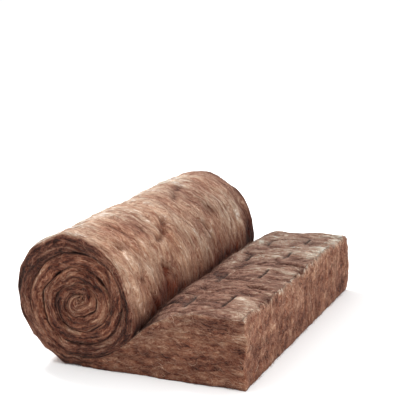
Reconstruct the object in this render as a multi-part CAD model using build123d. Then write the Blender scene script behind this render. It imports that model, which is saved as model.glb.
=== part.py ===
from build123d import *

import math
import os

# A mineral wool insulation mat, partly unrolled. It is one strip of wool: its inner end is
# wound into a roll that lies on the floor, and its outer end is pulled out flat as a tail
# that has swollen to its full thickness. All sizes are in millimetres. The side view below
# has X along the tail, Z up, and the axis of the wound turns at X = 0.

# The mat
mat_width = 1200.0  # from one long edge to the other
mat_thickness = 240.0  # the tail at its cut end, fully recovered
edge_softness = 7.0  # the long edges are taken off by this much, on the tail and every turn

# The tail
tail_length = 597.0  # from the roll's axis to the cut end
swell_radius = 430.0  # the rise from under the roll to the full thickness
cut_top_radius = 15.0  # rounding of the cut end's upper corner
cut_bottom_radius = 12.0  # rounding of the cut end's lower corner

# The wound turns, which stand on the tail
pressed_thickness = 31.0  # the tail under the roll, with the gap above it
first_turn_radius = 182.0  # the first half turn inside the outermost one
turn_thickness = 48.0  # each wound turn, with the gap beside it
turn_gap = 3.0  # air between two turns
core_radius = 20.0  # no half turn is wound tighter than this

# The outermost turn lies round them and sags into an egg: a flat round on the tail's side
# and a tighter one behind, which cross at the top. Each is larger than the first turn.
behind_first_turn = 50.0  # how far the roll reaches behind the first turn
before_first_turn = 16.0  # how far it reaches before it, on the tail's side
rear_slack = 30.0  # the rear round's extra radius
front_slack = 82.0  # the front round's extra radius
seat_slack = 45.0  # the extra radius of the underside, where the roll sits on the tail
sag = 25.0  # the front's furthest point is this far below the turns' middle, the rear's above
peak_radius = 120.0  # rounding of the top, where the two rounds cross
tuck_radius = 60.0  # rounding where the front tucks in under the roll
landing_offset = 62.0  # the roll meets the floor this far behind its axis
landing_radius = 40.0  # rounding where it meets the floor

# Where the rounds stand
middle_height = pressed_thickness + first_turn_radius
rear_radius = first_turn_radius + rear_slack
front_radius = first_turn_radius + front_slack
seat_radius = first_turn_radius + seat_slack
rear_center = (rear_slack - behind_first_turn, middle_height + sag)
front_center = (before_first_turn - front_slack, middle_height - sag)
seat_center = (0, pressed_thickness + seat_radius)

# The origin is under the middle of the whole mat
rear_reach = first_turn_radius + behind_first_turn
axis_x = (rear_reach - tail_length) / 2

# Each turn is two half circles that meet on the vertical line through the axis
half_turns = int((first_turn_radius - core_radius) / (turn_thickness / 2)) + 1


def half_turn_radius(half):
    """The radius of a half turn, counted inwards from 0."""
    return first_turn_radius - half * turn_thickness / 2


def half_turn(half, clearance=0.0):
    """One half turn, from the bottom round the rear, or from the top round the front."""
    radius = half_turn_radius(half) + clearance
    if half % 2 == 0:
        return CenterArc((0, middle_height), radius, 270, -180)
    return CenterArc((0, middle_height + turn_thickness / 2), radius, 90, -180)


def crossing(center_a, radius_a, center_b, radius_b):
    """The right-hand one of the two points where two circles cross, going from a to b."""
    across = Vector(*center_b) - Vector(*center_a)
    along = (radius_a**2 - radius_b**2 + across.length**2) / (2 * across.length)
    aside = math.sqrt(radius_a**2 - along**2)
    step = across.normalized()
    return Vector(*center_a) + step * along + Vector(step.Y, -step.X) * aside


def angle_to(center, point):
    """The direction from a centre to a point, in degrees."""
    return math.degrees(math.atan2(point.Y - center[1], point.X - center[0]))


def tail_outline():
    """The floor line, the cut end, the flat top, and the swell down to the roll's seat."""
    # The swell is an arc that just touches the hollow in which the roll sits
    swell_center_z = mat_thickness - swell_radius
    reach = seat_radius + turn_gap + swell_radius
    swell_center_x = math.sqrt(reach**2 - (seat_center[1] - swell_center_z) ** 2)
    rise = math.degrees(math.asin(swell_center_x / reach))
    floor_line = Line((-landing_offset, 0), (tail_length, 0))
    cut_end = Line((tail_length, 0), (tail_length, mat_thickness))
    flat_top = Line((tail_length, mat_thickness), (swell_center_x, mat_thickness))
    swell = CenterArc((swell_center_x, swell_center_z), swell_radius, 90, rise)
    hollow = CenterArc(seat_center, seat_radius + turn_gap, rise - 90, -rise)
    return [floor_line, cut_end, flat_top, swell, hollow]


def wound_turns():
    """Both walls of the gap that winds between the turns, and the gap's round end."""
    outer_wall = [half_turn(half, turn_gap) for half in range(half_turns)]
    inner_wall = [half_turn(half) for half in range(half_turns)]
    middle = (outer_wall[-1] @ 1 + inner_wall[-1] @ 1) / 2
    gap_end = CenterArc(middle, turn_gap / 2, 90 if half_turns % 2 else 270, -180)
    return outer_wall + [gap_end] + inner_wall


def roll_outside():
    """The roll's seat on the tail, its front, its rear and the run down to the floor."""
    tuck = crossing(front_center, front_radius, seat_center, seat_radius)
    peak = crossing(rear_center, rear_radius, front_center, front_radius)
    tuck_angle = angle_to(seat_center, tuck)
    seat = CenterArc(seat_center, seat_radius, -90, tuck_angle + 90)
    front_start = angle_to(front_center, tuck)
    front = CenterArc(
        front_center, front_radius, front_start, angle_to(front_center, peak) - front_start
    )
    # The rear leaves its round where a straight run down to the floor touches it
    landing = Vector(-landing_offset, 0)
    distance = (landing - Vector(*rear_center)).length
    leave = math.degrees(math.acos(rear_radius / distance))
    leave_angle = angle_to(rear_center, landing) - leave + 360
    rear_start = angle_to(rear_center, peak)
    rear = CenterArc(rear_center, rear_radius, rear_start, leave_angle - rear_start)
    run_down = Line(rear @ 1, landing)
    return [seat, front, rear, run_down], peak, tuck


def corner_at(face, x, z):
    """The corner of the side view nearest to a point."""
    return face.vertices().sort_by_distance(Vector(x, z, 0))[0]


def side_view():
    """The mat seen from its long edge: one closed outline that winds into the roll."""
    outside, peak, tuck = roll_outside()
    face = make_face(tail_outline() + wound_turns() + outside)
    rounded = [
        (peak.X, peak.Y, peak_radius),
        (tuck.X, tuck.Y, tuck_radius),
        (-landing_offset, 0, landing_radius),
        (tail_length, 0, cut_bottom_radius),
        (tail_length, mat_thickness, cut_top_radius),
    ]
    for x, z, radius in rounded:
        face = fillet(corner_at(face, x, z), radius)
    return face


def wool_mat():
    """The whole mat, with its long edges softened all along the tail and every turn."""
    far_edge = Plane((axis_x, mat_width / 2, 0), x_dir=(1, 0, 0), z_dir=(0, -1, 0))
    mat = extrude(far_edge * side_view(), amount=mat_width)
    long_edges = mat.edges().group_by(Axis.Y)
    return chamfer(long_edges[0] + long_edges[-1], edge_softness)


os.makedirs("parts", exist_ok=True)
export_step(wool_mat(), "parts/wool_mat.step")
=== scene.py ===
"""A partly unrolled mat of brown mineral wool, on a pale studio floor.

The mat is one strip. Its inner end is wound into a roll and its outer end lies out flat as a
thick tail. Every point of it has a place on the strip itself: how far along it is, how far
across, and how deep above its outer skin. The wool's fibres, folds and colours follow those
three, so they run round the roll, along the tail and into the cut faces without a break.
"""

from __future__ import annotations

import logging
import math
from dataclasses import dataclass, field, replace
from enum import Enum

import bpy
import numpy as np
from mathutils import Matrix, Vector

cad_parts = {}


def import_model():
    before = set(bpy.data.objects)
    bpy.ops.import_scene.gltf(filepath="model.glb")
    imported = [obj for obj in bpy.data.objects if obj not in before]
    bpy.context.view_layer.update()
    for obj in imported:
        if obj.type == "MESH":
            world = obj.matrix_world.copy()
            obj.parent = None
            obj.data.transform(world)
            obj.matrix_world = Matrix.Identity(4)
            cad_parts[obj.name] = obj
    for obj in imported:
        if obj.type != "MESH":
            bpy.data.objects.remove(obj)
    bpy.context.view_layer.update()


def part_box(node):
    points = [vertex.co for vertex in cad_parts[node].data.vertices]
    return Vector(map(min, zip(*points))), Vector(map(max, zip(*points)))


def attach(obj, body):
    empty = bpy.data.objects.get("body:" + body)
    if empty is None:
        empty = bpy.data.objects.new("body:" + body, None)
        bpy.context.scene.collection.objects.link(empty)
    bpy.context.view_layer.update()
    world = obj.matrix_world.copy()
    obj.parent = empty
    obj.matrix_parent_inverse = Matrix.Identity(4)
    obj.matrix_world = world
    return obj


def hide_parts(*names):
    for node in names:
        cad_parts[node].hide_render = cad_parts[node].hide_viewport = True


LOG = logging.getLogger("insulation_roll")

# A lump so long, in metres, that the wool doesn't change that way.
EVEN = 9.0
# The winding angle that stands for a cross-section of the tail, which isn't wound.
UNWOUND = -1.0
# A length so small that it only keeps a division from failing.
TINY = 1e-12
# The sockets of a Mix node that take two numbers, that take two colours, and that give a colour.
MIX_NUMBERS = (2, 3)
MIX_COLOURS = (6, 7)
MIX_COLOUR_OUT = 2

Size = tuple[float, float, float]
# A point of the side view, or two numbers that belong together.
Pair = tuple[float, float]
Colour = tuple[float, float, float]


class Zone(Enum):
    """The kinds of face on the mat, by how its fibres lie in them."""

    SKIN = "skin"
    LONG_EDGE = "long_edge"
    CUT_END = "cut_end"


class Ground(Enum):
    """Where loose fibres grow."""

    ROLL = "roll"
    TAIL = "tail"


def share_between(value: np.ndarray, start: float | np.ndarray,
                  end: float | np.ndarray) -> np.ndarray:
    """How far a value has come from a start, where the share is 0, to an end, where it is 1."""
    return np.clip((value - start) / (end - start), 0, 1)


def near(distance: np.ndarray, reach: float) -> np.ndarray:
    """How near something is: 1 at no distance, and evenly down to 0 at the reach."""
    return np.clip(1 - distance / reach, 0, 1)


@dataclass(frozen=True)
class Rise:
    """A number that grows from 0 between its start and its end, and then keeps its height.

    Where the end comes before the start, it has its height first and shrinks to 0.
    """

    start: float
    end: float
    height: float = 1.0
    power: int = 1

    def at(self, value: np.ndarray) -> np.ndarray:
        """The number at each value."""
        return self.height * share_between(value, self.start, self.end) ** self.power


@dataclass(frozen=True)
class Peak:
    """A number with straight slopes on both sides of its middle."""

    middle: float
    reach: float
    height: float

    def at(self, value: np.ndarray) -> np.ndarray:
        """The number at each value."""
        return self.height * near(np.abs(value - self.middle), self.reach)


@dataclass(frozen=True)
class Hill:
    """A number that swells softly round its middle."""

    middle: float
    width: float
    height: float = 1.0

    def at(self, value: np.ndarray) -> np.ndarray:
        """The number at each value."""
        return self.height * np.exp(-(((value - self.middle) / self.width) ** 2))


@dataclass(frozen=True)
class HollowShade:
    """How much painted shade the wool gets where its relief lies low."""

    depth: float
    start: float
    dark: float

    def at(self, push: np.ndarray) -> np.ndarray:
        """How much painted shade there is at each relief."""
        return self.dark * np.clip(-push / self.depth - self.start, 0, 1)


@dataclass(frozen=True)
class Grain:
    """Smooth, seeded gradient noise in three dimensions."""

    seed: int
    cells: int = 256
    origin: float = 37.5
    seed_step: float = 3.7
    gain: float = 1.6
    crest: float = 2.6

    def at(self, place: np.ndarray, size: Size) -> np.ndarray:
        """Noise at many places.

        Args:
            place: One row of three coordinates for each place, in metres.
            size: How long the noise's lumps are along each coordinate, in metres.

        Returns:
            One value for each place, from about -1 to 1.
        """
        rng = np.random.default_rng(self.seed)
        order = np.concatenate([rng.permutation(self.cells)] * 3)
        slopes = rng.normal(size=(self.cells, 3))
        slopes /= np.linalg.norm(slopes, axis=1)[:, None]
        spot = place / np.array(size) + self.origin + self.seed * self.seed_step
        cell = np.floor(spot).astype(int)
        inside = spot - cell
        ease = inside**3 * (inside * (inside * 6 - 15) + 10)
        total = np.zeros(len(place))
        for corner in np.ndindex(2, 2, 2):
            step = np.array(corner)
            node = (cell + step) % self.cells
            pick = order[order[order[node[:, 0]] + node[:, 1]] + node[:, 2]]
            value = ((inside - step) * slopes[pick]).sum(axis=1)
            total += value * np.where(step == 1, ease, 1 - ease).prod(axis=1)
        return total * self.gain

    def ridges(self, place: np.ndarray, size: Size) -> np.ndarray:
        """Noise with sharp crests, from about -1 to 1."""
        return 1 - self.crest * np.abs(self.at(place, size))


@dataclass(frozen=True)
class Relief:
    """Lumps of one size in the wool, some of them with a crest."""

    seed: int
    size: Size
    height: float
    crested: bool = False

    def push(self, place: np.ndarray) -> np.ndarray:
        """How far the lumps stand out at each place, in metres."""
        noise = Grain(self.seed).ridges if self.crested else Grain(self.seed).at
        return noise(place, self.size) * self.height


@dataclass(frozen=True)
class Grooves:
    """Long thin winding lines."""

    seed: int
    size: Size
    width: float

    def share(self, place: np.ndarray) -> np.ndarray:
        """How much of a line is at each place: 1 on it and 0 away from it."""
        return near(np.abs(Grain(self.seed).at(place, self.size)), self.width)


@dataclass(frozen=True)
class Patches:
    """Soft patches, with nothing between them."""

    seed: int
    size: Size
    base: float
    swing: float = 1.0
    most: float = 1.0

    def share(self, place: np.ndarray) -> np.ndarray:
        """How much of a patch is at each place."""
        noise = Grain(self.seed).at(place, self.size)
        return np.clip(self.base + self.swing * noise, 0, self.most)


def pile(reliefs: tuple[Relief, ...], place: np.ndarray) -> np.ndarray:
    """Several reliefs on top of each other, as how far the wool stands out at each place."""
    return sum((relief.push(place) for relief in reliefs), np.zeros(len(place)))


@dataclass(frozen=True)
class Crease:
    """A fold pressed into a skin of the mat, from one point of the strip to another."""

    start: Pair
    end: Pair
    depth: float
    width: float
    fullness: float = 1.15

    def share(self, along: np.ndarray, across: np.ndarray) -> np.ndarray:
        """How much of the fold's depth is at each point.

        Args:
            along: Places along the strip.
            across: Places across it.

        Returns:
            The shares, from 0 to 1.
        """
        run = np.array(self.end) - np.array(self.start)
        from_start = np.stack([along - self.start[0], across - self.start[1]], 1)
        share = from_start @ run / (run @ run)
        nearest = np.clip(share, 0, 1)[:, None] * run
        away = np.linalg.norm(from_start - nearest, axis=1)
        ends = np.clip(self.fullness - (2 * share - 1) ** 2, 0, 1)
        return Hill(0, self.width).at(away) * ends


def creased(creases: tuple[Crease, ...], along: np.ndarray,
            across: np.ndarray) -> tuple[np.ndarray, np.ndarray]:
    """Several creases at once.

    Args:
        creases: The creases.
        along: Places along the strip.
        across: Places across it.

    Returns:
        How deep they are at each point, in metres, and the sum of their shares.
    """
    shares = [crease.share(along, across) for crease in creases]
    depth = sum(crease.depth * share for crease, share in zip(creases, shares))
    return depth, sum(shares)


@dataclass(frozen=True)
class SideView:
    """The mat's outline seen from its long edge, with the roll's axis at X = 0, in metres.

    Directions and winding angles are in radians, from straight down round the rear. Past its
    shoulder the outermost turn follows the lower of its two rounds, and from seat_from on it
    lies in its seat on the tail, up to the nip, where its skin goes out of sight.
    """

    tail_length: float = 0.597
    thickness: float = 0.240
    gap: float = 0.0010
    first_turn: float = 0.182
    turn: float = 0.048
    middle: float = 0.213
    front_center: Pair = (-0.066, 0.188)
    front_radius: float = 0.264
    rear_center: Pair = (-0.020, 0.238)
    rear_radius: float = 0.212
    seat_center: Pair = (0.0, 0.258)
    seat_radius: float = 0.227
    seat_from: float = math.pi * 1.06
    shoulder: float = math.pi * 0.6
    landing: float = 0.062
    swell_radius: float = 0.430
    swell_x: float = 0.4847
    eye: Pair = (0.0, 0.237)
    half_turns: int = 10
    nip: float = 2 * math.pi - 0.72
    least_facing: float = 0.05
    least_down: float = 0.1
    ease_reach: float = 0.10
    ease_steps: int = 9
    eased_from: float = 0.75
    stray: tuple[Relief, ...] = (
        Relief(5, (0.9, 1, 1), 0.0050),
        Relief(6, (0.30, 1, 1), 0.0028),
    )
    stray_ease: float = 0.4

    def reach(self, angle: np.ndarray, center: Pair, radius: float) -> np.ndarray:
        """How far a ray from the eye of the roll runs to a circle.

        Args:
            angle: Directions in radians, from straight down round the rear.
            center: The circle's centre.
            radius: The circle's radius.

        Returns:
            The distances.
        """
        offset_x = self.eye[0] - center[0]
        offset_z = self.eye[1] - center[1]
        half = -np.sin(angle) * offset_x - np.cos(angle) * offset_z
        beyond = offset_x**2 + offset_z**2 - radius**2
        return -half + np.sqrt(np.maximum(half**2 - beyond, 0))

    def run_down(self, angle: np.ndarray) -> tuple[np.ndarray, float]:
        """The straight run from the rear round down to where the mat lands on the floor.

        Args:
            angle: Directions in radians, from straight down round the rear.

        Returns:
            The distances from the eye to the run, and the direction in which it leaves the
            rear round.
        """
        back = -self.landing - self.rear_center[0]
        down = -self.rear_center[1]
        lean = math.acos(self.rear_radius / math.hypot(back, down)) - math.atan2(back, -down)
        normal_x, normal_z = -math.sin(lean), -math.cos(lean)
        far = self.rear_radius + normal_x * (self.rear_center[0] - self.eye[0])
        far += normal_z * (self.rear_center[1] - self.eye[1])
        facing = -np.sin(angle) * normal_x - np.cos(angle) * normal_z
        return far / np.maximum(facing, self.least_facing), lean

    def outline(self, angle: np.ndarray) -> np.ndarray:
        """The roll's outside.

        Args:
            angle: Directions in radians, from straight down round the rear and once about.

        Returns:
            Its distances from the eye.
        """
        rear = self.reach(angle, self.rear_center, self.rear_radius)
        front = self.reach(angle, self.front_center, self.front_radius)
        seat = self.reach(angle, self.seat_center, self.seat_radius)
        down = np.cos(angle)
        floor = self.eye[1] / np.maximum(down, self.least_down)
        run, lean = self.run_down(angle)
        behind = np.where(angle < lean, run, rear)
        behind = np.where(down > self.least_down, np.minimum(behind, floor), behind)
        top = np.minimum(rear, front)
        behind = np.where(angle > self.shoulder, top, behind)
        ahead = np.where(angle > self.seat_from, np.minimum(front, seat), top)
        return np.where(angle < math.pi, behind, ahead)

    def wound(self, angle: np.ndarray) -> np.ndarray:
        """The outer side of the strip at a winding angle, as distances from the eye.

        Args:
            angle: Winding angles in radians, from straight down under the roll.

        Returns:
            The distances, which shrink turn by turn towards the eye.
        """
        result = np.zeros(angle.shape)
        first = angle <= 2 * math.pi
        result[first] = self.outline(angle[first])
        for half in range(self.half_turns - 2):
            inside = (angle > (half + 2) * math.pi) & (angle <= (half + 3) * math.pi)
            height = self.middle + (self.turn / 2 if half % 2 else 0)
            radius = self.first_turn - half * self.turn / 2
            result[inside] = self.reach(angle[inside], (0.0, height), radius)
        return result

    def eased(self, angle: np.ndarray) -> np.ndarray:
        """The strip's outer side with its corners eased and its turns a little uneven.

        Args:
            angle: Winding angles in radians.

        Returns:
            The distances from the eye.
        """
        offsets = np.linspace(-self.ease_reach, self.ease_reach, self.ease_steps)
        around = sum(self.wound(np.maximum(angle + offset, 0.0)) for offset in offsets)
        return np.where(angle < self.eased_from, self.wound(angle), around / self.ease_steps)

    def uneven(self, angle: np.ndarray) -> np.ndarray:
        """How much the inner turns stray from their rounds.

        Args:
            angle: Winding angles in radians.

        Returns:
            The lengths, in metres.
        """
        place = np.stack([angle, np.zeros(len(angle)), np.zeros(len(angle))], 1)
        start = 2 * math.pi - self.stray_ease
        return pile(self.stray, place) * share_between(angle, start, start + 2 * self.stray_ease)

    def tail_top(self, x: np.ndarray) -> np.ndarray:
        """The tail's top skin, from under the roll out to the cut end.

        Args:
            x: Places along the tail.

        Returns:
            The skin's heights over the floor.
        """
        hollow_radius = self.seat_radius + self.gap
        hollow = self.seat_center[1] - np.sqrt(np.maximum(hollow_radius**2 - x**2, 0))
        past = np.minimum(x - self.swell_x, 0)
        swell = self.thickness - self.swell_radius
        swell = swell + np.sqrt(np.maximum(self.swell_radius**2 - past**2, 0))
        touch = self.swell_x * self.seat_radius / (self.seat_radius + self.swell_radius)
        return np.where(x < touch, hollow, swell)


@dataclass(frozen=True)
class CutMarks:
    """Two rows of short slits across the tail's top skin."""

    rows: Pair = (0.340, 0.477)
    by_the_roll: tuple[Pair, ...] = (
        (-0.501, -0.385), (-0.198, -0.092), (0.100, 0.206), (0.343, 0.443))
    by_the_cut: tuple[Pair, ...] = (
        (-0.514, -0.368), (-0.146, -0.030), (0.132, 0.236), (0.389, 0.480))
    half_width: float = 0.0054
    lip: float = 0.003
    end: float = 0.010
    end_start: float = 0.6
    depth: float = 0.007
    stations: tuple[float, ...] = (-0.004, -0.0016, 0.0016, 0.004)
    clear: float = 0.0075

    def shares(self, x: np.ndarray, y: np.ndarray, wider: float = 0) -> np.ndarray:
        """How much of a slit is at each place, from 0 to 1.

        Args:
            x: Places along the tail.
            y: Places across it.
            wider: How far past each slit to reach, with a lip as wide as that.

        Returns:
            The shares.
        """
        result = np.zeros(len(x))
        lip, end = self.lip + wider, self.end + wider
        for row, dashes in zip(self.rows, (self.by_the_roll, self.by_the_cut)):
            across = np.clip((self.half_width + wider - np.abs(x - row)) / lip, 0, 1)
            for first, last in dashes:
                inside = np.minimum(y - first, last - y) + wider
                along = np.clip(inside / end + self.end_start, 0, 1)
                result = np.maximum(result, along * across)
        return result

    def sharpen(self, x: np.ndarray) -> np.ndarray:
        """Add cross-sections beside each row, so that its slits come out sharp.

        Args:
            x: The places of the tail's cross-sections.

        Returns:
            The places with the new ones among them, from the cut end inwards.
        """
        extra = [row + off for row in self.rows for off in self.stations]
        keep = [v for v in x if min(abs(v - row) for row in self.rows) > self.clear]
        return np.array(sorted(set(keep) | set(extra), reverse=True))


@dataclass
class Strip:
    """The cross-sections of the strip, from its cut end along the tail and into the roll."""

    side: SideView
    marks: CutMarks
    step: float = 0.0085
    least_radius: float = 0.022
    least_eye: float = 0.0015
    thin: float = 0.8

    def __post_init__(self) -> None:
        """Work out both ends of every cross-section."""
        side = self.side
        count = int(side.tail_length / self.step)
        x = self.marks.sharpen(np.linspace(side.tail_length, 0, count, endpoint=False))
        angle = self.winding()
        outer = side.eased(angle) + side.uneven(angle)
        next_in = angle + 2 * math.pi
        inner = side.eased(next_in) + side.uneven(angle) + side.gap
        inner = np.minimum(np.maximum(inner, self.least_eye), outer * self.thin)
        down_x, down_z = -np.sin(angle), -np.cos(angle)
        eye_x, eye_z = side.eye
        under_x = np.concatenate([x, eye_x + down_x * outer])
        under_z = np.concatenate([np.zeros(len(x)), eye_z + down_z * outer])
        over_x = np.concatenate([x, eye_x + down_x * inner])
        over_z = np.concatenate([side.tail_top(x), eye_z + down_z * inner])
        self.angle = np.concatenate([np.full(len(x), UNWOUND), angle])
        self.under = np.stack([under_x, np.maximum(under_z, 0)], 1)
        self.over = np.stack([over_x, over_z], 1)
        middle = (self.under + self.over) / 2
        steps = np.linalg.norm(np.diff(middle, axis=0), axis=1)
        self.along = np.concatenate([[0], np.cumsum(steps)])
        self.count = len(self.along)

    def winding(self) -> np.ndarray:
        """Space the roll's cross-sections evenly along the strip.

        Returns:
            Their winding angles.
        """
        angles = [0.0]
        while angles[-1] < self.side.half_turns * math.pi:
            radius = float(self.side.wound(np.array([angles[-1]]))[0])
            angles.append(angles[-1] + self.step / max(radius, self.least_radius))
        return np.array(angles[:-1])


@dataclass
class Points:
    """Where each vertex of the mat is on the strip."""

    station: np.ndarray
    layer: np.ndarray
    line: np.ndarray
    strip: Strip
    lines: np.ndarray
    shares: np.ndarray
    half_width: float

    def __post_init__(self) -> None:
        """Work out each vertex's place before the wool's relief."""
        under = self.strip.under[self.station]
        through = self.strip.over[self.station] - under
        self.thickness = np.linalg.norm(through, axis=1)
        self.way = through / self.thickness[:, None]
        self.share = self.shares[self.layer]
        self.depth = self.share * self.thickness
        self.spot = under + self.way * self.depth[:, None]
        self.y = self.lines[self.line]
        self.s = self.strip.along[self.station]
        self.lay = np.stack([self.s, self.y, self.depth], 1)
        self.angle = self.strip.angle[self.station]
        self.x = self.strip.under[self.station][:, 0]
        self.tail = self.angle == UNWOUND
        self.on_edge = (self.line == 0) | (self.line == len(self.lines) - 1)
        self.on_under = self.layer == 0
        self.on_over = self.layer == len(self.shares) - 1
        self.on_cut = self.station == 0
        self.outward = np.where(self.y < 0, -1.0, 1.0)
        self.from_edge = self.half_width - np.abs(self.y)
        self.from_skin = np.minimum(self.depth, self.thickness - self.depth)


def bent(place: np.ndarray, by: np.ndarray, share: Size) -> np.ndarray:
    """Places moved a little, so that what is drawn on them winds."""
    return place + by[:, None] * np.array(share)


@dataclass
class Dressing:
    """What one face of the mat gives to the vertices on it."""

    push: np.ndarray
    # How much painted shade each vertex gets: colour darkened where shade falls, in hollows,
    # creases, gaps and the nip.
    painted_shade: np.ndarray
    # How pale the wool is: partly its own colour, partly painted highlights and painted shade.
    tone: np.ndarray
    # How grey it is: partly its own colour, partly painted highlight and painted shade.
    grey: np.ndarray


@dataclass(frozen=True)
class RollSkin:
    """The outside of the roll: soft swells, locks that run round it, and pressed dents.

    Its marks lie at a winding angle, in radians, and at a place across the mat, in metres. Its
    creases are placed by the length round a drum of the given radius instead of the angle.
    """

    nip: float
    radius: float = 0.24
    rise: float = 0.002
    bow: Relief = Relief(10, (0.16, 0.16, 1), 0.05)
    bow_way: Size = (1, 0.6, 0)
    swells: tuple[Relief, ...] = (
        Relief(11, (0.26, 0.18, EVEN), 0.0080),
        Relief(12, (0.13, 0.070, EVEN), 0.0080),
    )
    locks: tuple[Relief, ...] = (
        Relief(13, (0.10, 0.034, EVEN), 0.0030, crested=True),
        Relief(14, (0.050, 0.014, EVEN), 0.0026),
    )
    pits: Patches = Patches(15, (0.17, 0.10, EVEN), -0.72)
    pit_depth: float = 0.030
    pleats: Grooves = Grooves(16, (0.22, 0.075, EVEN), 0.10)
    pleated: Patches = Patches(17, (0.13, 0.11, EVEN), 0.5, 1.6)
    pleat_depth: float = 0.0045
    foot: Hill = Hill(0.52, 0.20, 0.010)
    far_taper: Rise = Rise(0.46, 0.60, 0.004, power=2)
    creases: tuple[Crease, ...] = (
        Crease((0.850, -0.09), (0.912, -0.13), 0.016, 0.018),
        Crease((0.912, -0.13), (0.938, -0.19), 0.016, 0.018),
        Crease((0.938, -0.19), (0.945, -0.26), 0.009, 0.014),
        Crease((1.030, -0.290), (1.110, -0.268), 0.016, 0.022),
        Crease((1.045, -0.480), (1.085, -0.465), 0.008, 0.012),
        Crease((0.864, -0.500), (0.912, -0.485), 0.010, 0.014),
        Crease((0.812, 0.100), (0.770, 0.190), 0.011, 0.014),
        Crease((0.764, 0.190), (0.740, 0.320), 0.008, 0.012),
        Crease((0.938, 0.14), (1.123, 0.17), 0.008, 0.014),
        Crease((1.020, 0.40), (1.110, 0.36), 0.008, 0.012),
    )
    deep_swell: float = 0.0250
    deep_lock: float = 0.0110
    # Painted shade: darker where the swells and locks lie low, in the dimples, pleats and creases,
    # and on the lower side from the shade line towards the nip.
    hollow: HollowShade = HollowShade(1, 0.2, 0.55)
    pit_shade: float = 1.3
    pleat_shade: float = 0.45
    crease_shade: float = 0.75
    shade_line: tuple[Pair, ...] = (
        (-0.60, 4.62), (-0.50, 4.66), (-0.42, 4.46), (-0.30, 4.26), (-0.20, 4.46), (-0.05, 4.60),
        (0.10, 4.48), (0.25, 4.42), (0.38, 4.50), (0.45, 4.62), (0.55, 4.25), (0.60, 4.10))
    shade_depth: float = 0.47
    pale: float = 0.60
    # Painted light and shade: crests of the swells and locks paler, their hollows and the dimples
    # darker.
    swell_light_and_shade: float = 5
    lock_light_and_shade: float = 9
    pit_shade_tone: float = 0.3
    clouds: Relief = Relief(54, (0.35, 0.22, EVEN), 0.07)
    # Painted highlight along the roll's top, where its outline faces the key light.
    crown_highlight: Peak = Peak(2.65, 0.7, 0.16)
    far_dark: Rise = Rise(0.47, 0.59, 0.34)
    # Painted shade on the back of the roll, which faces the key light.
    back_shade: Rise = Rise(2.3, 1.3, 0.08)
    patch_round: Hill = Hill(3.27, 0.26, 0.24)
    patch_across: Hill = Hill(0.21, 0.18)
    streaks: Patches = Patches(18, (0.11, 0.035, EVEN), 0.6, 0.8, 1.4)
    greyness: float = 0.16
    grey_clouds: Relief = Relief(57, (0.22, 0.15, EVEN), 0.25)
    low_brown: Rise = Rise(4.4, 5.0, 0.27)
    far_grey: Rise = Rise(-0.1, 0.3, 0.24)
    # Painted highlight: the roll's top greyed towards white.
    crown_highlight_grey: Peak = Peak(2.6, 0.9, 0.45)
    off_floor: Rise = Rise(0.2, 0.7)
    nip_ease: Pair = (0.10, -0.25)
    skin_depth: float = 0.03
    shown_from: float = 0.15
    shown_past_nip: float = 0.2

    def dress(self, points: Points) -> Dressing:
        """Work out the skin's relief and colour.

        Args:
            points: The mat's vertices.

        Returns:
            How far the skin stands out, how much painted shade it gets, how pale and how grey it
            is.
        """
        angle, y = points.angle, points.y
        around = np.stack([angle * self.radius, y, y * 0], 1)
        flow = bent(around, self.bow.push(around), self.bow_way)
        swell, locks = pile(self.swells, flow), pile(self.locks, flow)
        pits, streaks = self.pits.share(flow), self.streaks.share(flow)
        pleats = self.pleats.share(flow) * self.pleated.share(flow)
        depth, creases = creased(self.creases, around[:, 0], y)
        push = swell + locks - pits * self.pit_depth - pleats * self.pleat_depth + self.rise
        push += self.foot.at(angle) - self.far_taper.at(y) - depth
        # Painted shade in the low swells and locks, the dimples, pleats and creases, and on the
        # roll's lower side towards the nip.
        painted_shade = self.hollow.at(swell / self.deep_swell + locks / self.deep_lock)
        painted_shade += pits * self.pit_shade + pleats * self.pleat_shade + creases * self.crease_shade
        shade_from = np.interp(y, *np.transpose(self.shade_line))
        painted_shade += share_between(angle, shade_from, shade_from + self.shade_depth)
        # Painted light and shade: crests paler, hollows and dimples darker.
        tone = self.pale + swell * self.swell_light_and_shade + locks * self.lock_light_and_shade - pits * self.pit_shade_tone
        # Random clouds, and a painted highlight along the roll's top.
        tone += self.clouds.push(around) + self.crown_highlight.at(angle)
        # Darker towards the far end, and painted shade on the back.
        tone -= self.far_dark.at(y) + self.back_shade.at(angle)
        tone -= self.patch_round.at(angle) * self.patch_across.at(y) * streaks
        grey = self.greyness + self.grey_clouds.push(around)
        # Greyer at the far end, a greyer painted highlight along the top, and browner low down.
        grey += self.far_grey.at(y) + self.crown_highlight_grey.at(angle) - self.low_brown.at(angle)
        return Dressing(push, painted_shade, tone, grey)

    def weight(self, points: Points) -> np.ndarray:
        """How much of the relief each vertex takes: none on the floor or in the nip.

        Args:
            points: The mat's vertices.

        Returns:
            The shares, from 0 to 1.
        """
        none, full = (self.nip + ease for ease in self.nip_ease)
        ease = self.off_floor.at(points.angle) * share_between(points.angle, none, full)
        outer = (points.angle > 0) & (points.angle < 2 * math.pi)
        return np.where(outer, ease * near(points.depth, self.skin_depth), 0)

    def holds(self, points: Points) -> np.ndarray:
        """Which vertices are on this skin."""
        last = self.nip + self.shown_past_nip
        return points.on_under & (points.angle > self.shown_from) & (points.angle < last)


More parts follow.
